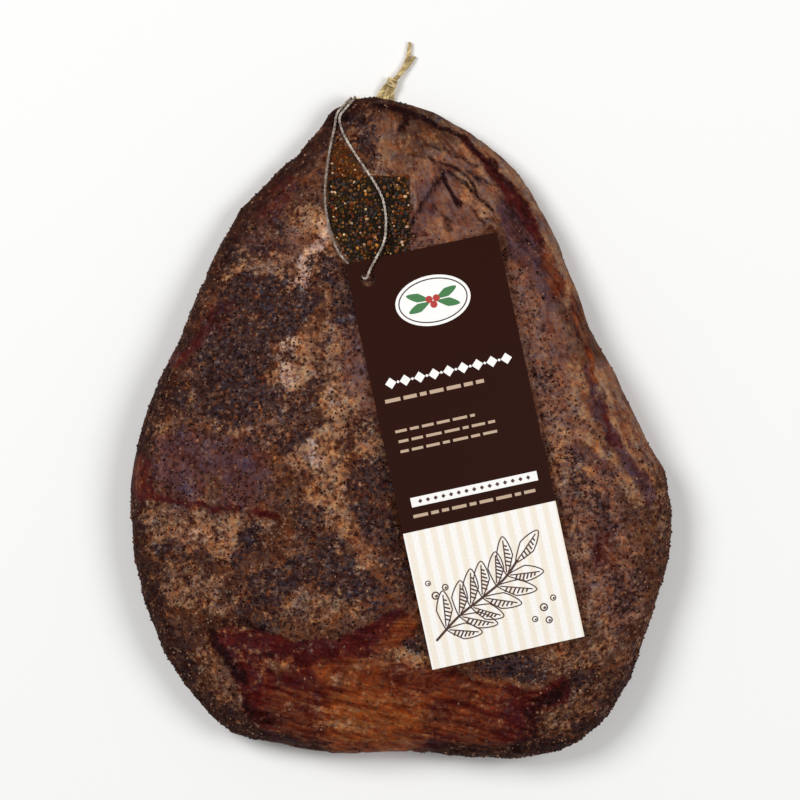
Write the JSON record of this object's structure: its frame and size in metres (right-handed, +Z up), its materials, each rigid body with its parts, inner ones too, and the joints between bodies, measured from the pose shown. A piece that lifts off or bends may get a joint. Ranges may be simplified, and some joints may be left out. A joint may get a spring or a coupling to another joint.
{
  "type": "cured pork cheek",
  "caption": "Whole cured pork cheek, a pear-shaped slab of fat and lean rubbed with pepper, lying on its rind, with a twine tie at its narrow end and a printed card tag on a string loop.",
  "frame": {"origin": "middle of the meat's footprint, on the board that it lies on", "axes": "+Z up out of the peppered face, +Y towards the narrow end with the twine, +X to the right seen from above"},
  "size_m": [0.223, 0.2959, 0.0496],
  "materials": {
    "meat": "dried peppered fat and lean, satin",
    "tag_card": "printed, semi-matt",
    "string": "twisted thread",
    "twine": "coarse natural fibre"
  },
  "bodies": {
    "root": {"pork_cheek": "meat", "hang_tag": "tag_card", "tag_string": "string", "hanging_twine": "twine"}
  },
  "joints": []
}
